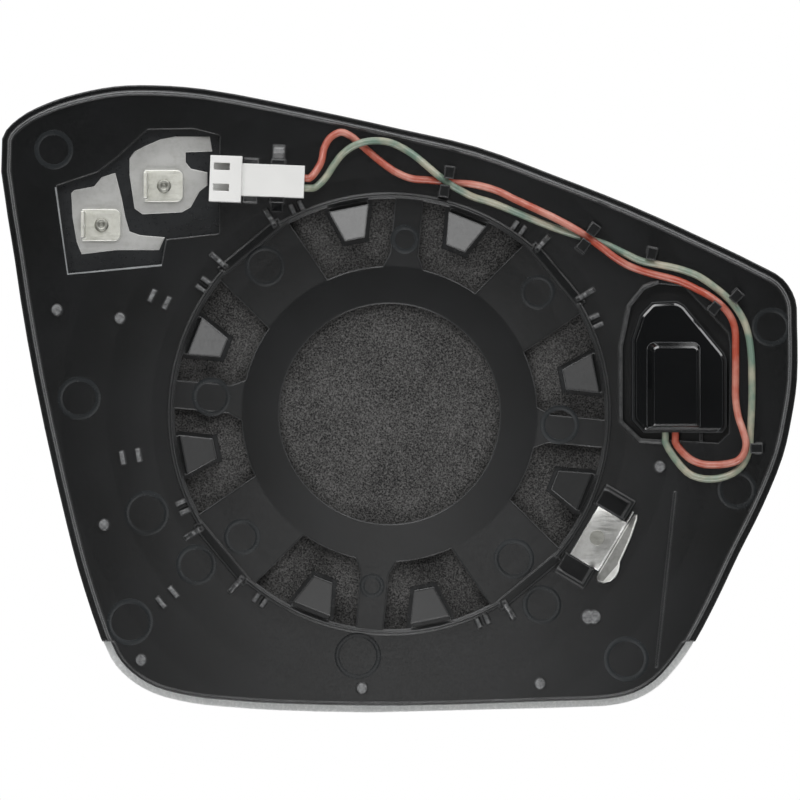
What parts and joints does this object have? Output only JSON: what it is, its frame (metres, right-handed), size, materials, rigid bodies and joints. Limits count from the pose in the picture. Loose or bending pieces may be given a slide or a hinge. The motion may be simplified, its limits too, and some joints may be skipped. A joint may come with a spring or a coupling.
{
  "type": "heated door mirror glass",
  "caption": "Convex heated door mirror glass on a moulded carrier with snap hooks, blade terminals, a built-in indicator module and its two clipped wires.",
  "frame": {"origin": "centre of the carrier's bore, on the flat hub that faces the actuator", "axes": "+Z out of the carrier's back, away from the mirror face; +X towards the pointed end; +Y towards the upper edge"},
  "size_m": [0.1911, 0.1507, 0.0145],
  "materials": {
    "mirror_glass": "silvered convex glass",
    "heater_film": "printed film",
    "foam_pad": "open-pored adhesive foam",
    "carrier_plate": "satin moulded",
    "silver_land": "printed silver under clear lacquer",
    "tin_plate": "tinned sheet",
    "rivet_steel": "plain",
    "white_nylon": "smooth",
    "contact_brass": "tinned",
    "red_wire": "smooth insulation",
    "green_wire": "smooth insulation",
    "black_gloss": "glossy moulded",
    "board_green": "solder mask",
    "led_yellow": "clear resin",
    "diffuser_white": "milky",
    "black_rubber": "soft seal",
    "spring_steel": "bright rolled"
  },
  "bodies": {
    "root": {"mirror_glass": "mirror_glass", "heater_film": "heater_film", "foam_pad": "foam_pad", "carrier_plate": "carrier_plate", "heater_land_upper": "silver_land", "heater_land_lower": "silver_land", "terminal_upper": "tin_plate", "terminal_lower": "tin_plate", "terminal_rivets": "rivet_steel", "connector_housing": "white_nylon", "connector_contacts": "contact_brass", "wire_red": "red_wire", "wire_green": "green_wire", "indicator_housing": "black_gloss", "indicator_lid": "black_gloss", "indicator_board": "board_green", "indicator_leds": "led_yellow", "indicator_diffuser": "diffuser_white", "indicator_seal": "black_rubber", "spring_clip": "spring_steel", "spring_rivet": "rivet_steel"}
  },
  "joints": []
}
